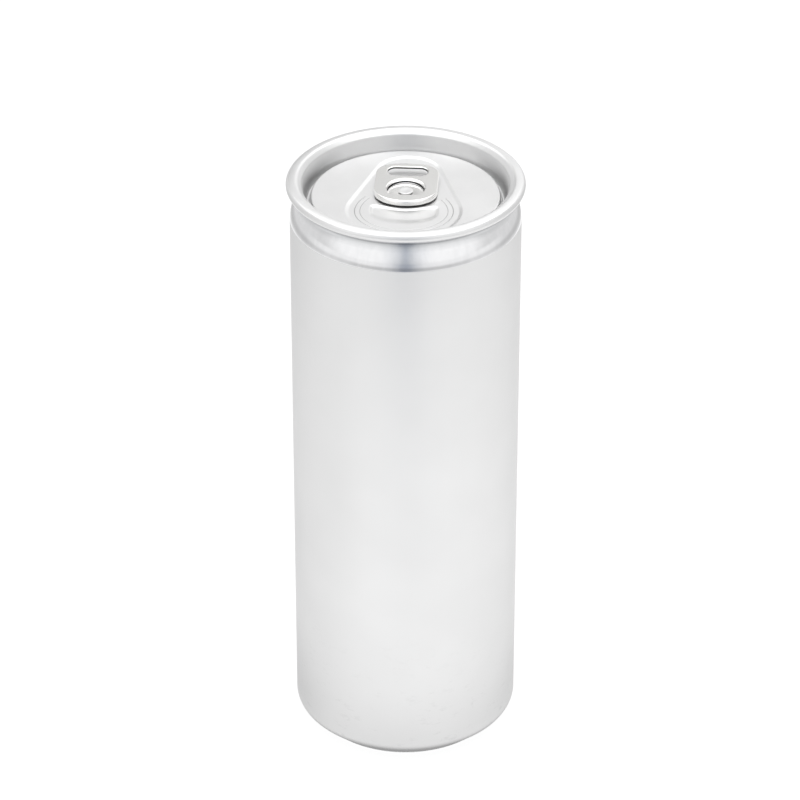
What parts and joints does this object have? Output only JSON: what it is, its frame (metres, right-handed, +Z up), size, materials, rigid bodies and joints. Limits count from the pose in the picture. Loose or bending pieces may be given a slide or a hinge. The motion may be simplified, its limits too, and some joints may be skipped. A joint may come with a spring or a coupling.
{
  "type": "beverage can",
  "caption": "Tall slim aluminium drink can, unprinted, with a domed base, a necked shoulder and a stay-on-tab end that lies on its flange and is not yet seamed.",
  "frame": {"origin": "centre of the circle on which the can stands, at the surface it stands on", "axes": "+Z up the can's axis; the tab's nose and the pour opening point along -Y; +X to the right of someone who faces the pour opening side"},
  "size_m": [0.059, 0.059, 0.157],
  "materials": {
    "body_aluminium": "bare drawn and ironed aluminium, satin wall, polished neck and chime",
    "end_aluminium": "bright rolled sheet, satin panel, polished curl and chuck wall",
    "tab_aluminium": "bright rolled sheet with polished curled edges"
  },
  "bodies": {
    "root": {"body": "body_aluminium", "lid": "end_aluminium", "tab": "tab_aluminium"}
  },
  "joints": []
}
